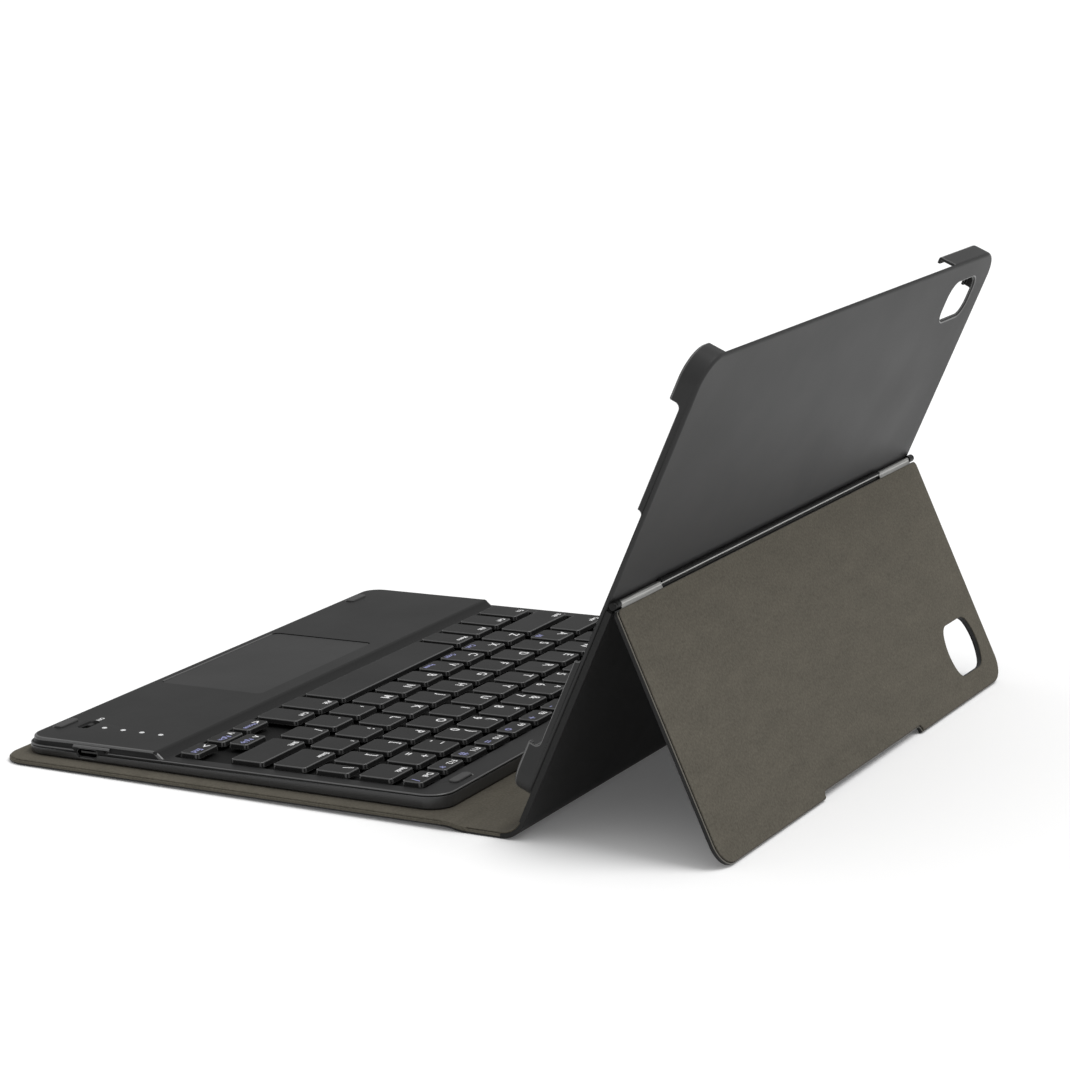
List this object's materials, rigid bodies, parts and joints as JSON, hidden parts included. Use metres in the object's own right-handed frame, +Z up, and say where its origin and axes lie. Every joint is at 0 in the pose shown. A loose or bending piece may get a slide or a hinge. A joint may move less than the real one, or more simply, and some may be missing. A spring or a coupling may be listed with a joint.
{
  "type": "tablet keyboard case",
  "caption": "Folding case for a flat tablet: lined cover with a detachable keyboard, spine strip, clip-in tray that leans back and a hinged kickstand flap behind it.",
  "frame": {"origin": "on the table, in the middle of the footprint of the open case", "axes": "X to the typist's right along the folds, Y from the typist to the back, Z up"},
  "size_m": [0.2632, 0.2851, 0.1696],
  "materials": {
    "skin": "fine-grained black synthetic leather",
    "lining": "brushed taupe microfibre",
    "board": "stiff grey board",
    "tray": "satin dark grey moulding",
    "hinge_black": "black moulding",
    "steel": "bare steel",
    "plate": "blackened sheet",
    "magnet": "nickel-plated",
    "housing": "satin charcoal moulding",
    "key": "satin charcoal caps",
    "touchpad": "smooth satin film",
    "rubber": "soft black rubber",
    "membrane": "printed clear film",
    "circuit": "green circuit board",
    "battery": "foil pouch",
    "light": "milky light pipe"
  },
  "bodies": {
    "cover": {"cover_skin": "skin", "cover_board": "board", "cover_lining": "lining", "cover_magnets": "magnet", "front_fold": "skin"},
    "spine": {"spine_skin": "skin", "spine_board": "board", "spine_lining": "lining", "rear_fold": "skin"},
    "tray": {"tray_shell": "tray", "back_panel_skin": "skin", "back_panel_board": "board", "back_panel_lining": "lining", "hinge_barrel": "hinge_black", "hinge_rod": "steel", "hinge_end_caps": "hinge_black"},
    "flap": {"flap_skin": "skin", "flap_board": "board", "flap_lining": "lining", "hinge_leaf_right": "steel", "hinge_leaf_left": "steel"},
    "keyboard": {"keyboard_base": "housing", "keyboard_deck": "housing", "key_plate": "plate", "key_membrane": "membrane", "rubber_domes": "rubber", "controller_board": "circuit", "battery_cell": "battery", "usb_c_socket": "steel", "power_switch_body": "hinge_black", "status_lights": "light", "rubber_bumpers": "rubber", "keyboard_magnets": "magnet", "case_screws": "steel"},
    "touchpad": {"touchpad_surface": "touchpad", "touchpad_board": "circuit", "touchpad_switch": "hinge_black"},
    "power_switch": {"power_switch_knob": "hinge_black"},
    "function_keys": {"function_keys": "key"},
    "escape_key": {"escape_key": "key"},
    "number_keys": {"number_keys": "key"},
    "backspace_key": {"backspace_key": "key"},
    "upper_letter_keys": {"upper_letter_keys": "key"},
    "tab_key": {"tab_key": "key"},
    "home_letter_keys": {"home_letter_keys": "key"},
    "caps_key": {"caps_key": "key"},
    "enter_key": {"enter_key": "key"},
    "lower_letter_keys": {"lower_letter_keys": "key"},
    "left_shift_key": {"left_shift_key": "key"},
    "right_shift_key": {"right_shift_key": "key"},
    "modifier_keys": {"modifier_keys": "key"},
    "space_bar": {"space_bar": "key"},
    "arrow_left_key": {"arrow_left_key": "key"},
    "arrow_down_key": {"arrow_down_key": "key"},
    "arrow_up_key": {"arrow_up_key": "key"},
    "arrow_right_key": {"arrow_right_key": "key"}
  },
  "joints": [
    {"name": "spine_fold", "type": "hinge", "parent": "cover", "child": "spine", "pos_m": [0, 0.04343, 0.00171], "axis": [1, 0, 0], "range_deg": [0, 90.39], "deforming": ["front_fold"]},
    {"name": "tray_fold", "type": "hinge", "parent": "spine", "child": "tray", "pos_m": [0, 0.06664, 0.0011], "axis": [1, 0, 0], "range_deg": [-66.65, 13.5], "deforming": ["rear_fold"]},
    {"name": "flap_hinge", "type": "hinge", "parent": "tray", "child": "flap", "pos_m": [0, 0.10273, 0.08382], "axis": [1, 0, 0], "range_deg": [0, 131.64]},
    {"name": "keyboard_pull", "type": "slide", "parent": "cover", "child": "keyboard", "axis": [0, -1, -0.0068], "range_m": [0, 0.185]},
    {"name": "touchpad_click", "type": "hinge", "parent": "keyboard", "child": "touchpad", "pos_m": [0, -0.08838, 0.00804], "axis": [1, 0, 0], "range_deg": [0, 0.5], "stiffness_Nm_per_rad": 5, "springref_deg": -0.17},
    {"name": "power_switch_slide", "type": "slide", "parent": "keyboard", "child": "power_switch", "axis": [1, 0, 0], "range_m": [0, 0.0024]},
    {"name": "function_keys_press", "type": "slide", "parent": "keyboard", "child": "function_keys", "axis": [0, 0.0182, -0.9998], "range_m": [0, 0.0013], "stiffness_N_per_m": 150, "springref_m": -0.0015, "deforming": ["rubber_domes"]},
    {"name": "escape_key_press", "type": "slide", "parent": "keyboard", "child": "escape_key", "axis": [0, 0.0182, -0.9998], "range_m": [0, 0.0013], "stiffness_N_per_m": 150, "springref_m": -0.0015, "deforming": ["rubber_domes"]},
    {"name": "number_keys_press", "type": "slide", "parent": "keyboard", "child": "number_keys", "axis": [0, 0.0182, -0.9998], "range_m": [0, 0.0013], "stiffness_N_per_m": 150, "springref_m": -0.0015, "deforming": ["rubber_domes"]},
    {"name": "backspace_key_press", "type": "slide", "parent": "keyboard", "child": "backspace_key", "axis": [0, 0.0182, -0.9998], "range_m": [0, 0.0013], "stiffness_N_per_m": 150, "springref_m": -0.0015, "deforming": ["rubber_domes"]},
    {"name": "upper_letter_keys_press", "type": "slide", "parent": "keyboard", "child": "upper_letter_keys", "axis": [0, 0.0182, -0.9998], "range_m": [0, 0.0013], "stiffness_N_per_m": 150, "springref_m": -0.0015, "deforming": ["rubber_domes"]},
    {"name": "tab_key_press", "type": "slide", "parent": "keyboard", "child": "tab_key", "axis": [0, 0.0182, -0.9998], "range_m": [0, 0.0013], "stiffness_N_per_m": 150, "springref_m": -0.0015, "deforming": ["rubber_domes"]},
    {"name": "home_letter_keys_press", "type": "slide", "parent": "keyboard", "child": "home_letter_keys", "axis": [0, 0.0182, -0.9998], "range_m": [0, 0.0013], "stiffness_N_per_m": 150, "springref_m": -0.0015, "deforming": ["rubber_domes"]},
    {"name": "caps_key_press", "type": "slide", "parent": "keyboard", "child": "caps_key", "axis": [0, 0.0182, -0.9998], "range_m": [0, 0.0013], "stiffness_N_per_m": 150, "springref_m": -0.0015, "deforming": ["rubber_domes"]},
    {"name": "enter_key_press", "type": "slide", "parent": "keyboard", "child": "enter_key", "axis": [0, 0.0182, -0.9998], "range_m": [0, 0.0013], "stiffness_N_per_m": 150, "springref_m": -0.0015, "deforming": ["rubber_domes"]},
    {"name": "lower_letter_keys_press", "type": "slide", "parent": "keyboard", "child": "lower_letter_keys", "axis": [0, 0.0182, -0.9998], "range_m": [0, 0.0013], "stiffness_N_per_m": 150, "springref_m": -0.0015, "deforming": ["rubber_domes"]},
    {"name": "left_shift_key_press", "type": "slide", "parent": "keyboard", "child": "left_shift_key", "axis": [0, 0.0182, -0.9998], "range_m": [0, 0.0013], "stiffness_N_per_m": 150, "springref_m": -0.0015, "deforming": ["rubber_domes"]},
    {"name": "right_shift_key_press", "type": "slide", "parent": "keyboard", "child": "right_shift_key", "axis": [0, 0.0182, -0.9998], "range_m": [0, 0.0013], "stiffness_N_per_m": 150, "springref_m": -0.0015, "deforming": ["rubber_domes"]},
    {"name": "modifier_keys_press", "type": "slide", "parent": "keyboard", "child": "modifier_keys", "axis": [0, 0.0182, -0.9998], "range_m": [0, 0.0013], "stiffness_N_per_m": 150, "springref_m": -0.0015, "deforming": ["rubber_domes"]},
    {"name": "space_bar_press", "type": "slide", "parent": "keyboard", "child": "space_bar", "axis": [0, 0.0182, -0.9998], "range_m": [0, 0.0013], "stiffness_N_per_m": 150, "springref_m": -0.0015, "deforming": ["rubber_domes"]},
    {"name": "arrow_left_key_press", "type": "slide", "parent": "keyboard", "child": "arrow_left_key", "axis": [0, 0.0182, -0.9998], "range_m": [0, 0.0013], "stiffness_N_per_m": 150, "springref_m": -0.0015, "deforming": ["rubber_domes"]},
    {"name": "arrow_down_key_press", "type": "slide", "parent": "keyboard", "child": "arrow_down_key", "axis": [0, 0.0182, -0.9998], "range_m": [0, 0.0013], "stiffness_N_per_m": 150, "springref_m": -0.0015, "deforming": ["rubber_domes"]},
    {"name": "arrow_up_key_press", "type": "slide", "parent": "keyboard", "child": "arrow_up_key", "axis": [0, 0.0182, -0.9998], "range_m": [0, 0.0013], "stiffness_N_per_m": 150, "springref_m": -0.0015, "deforming": ["rubber_domes"]},
    {"name": "arrow_right_key_press", "type": "slide", "parent": "keyboard", "child": "arrow_right_key", "axis": [0, 0.0182, -0.9998], "range_m": [0, 0.0013], "stiffness_N_per_m": 150, "springref_m": -0.0015, "deforming": ["rubber_domes"]}
  ]
}
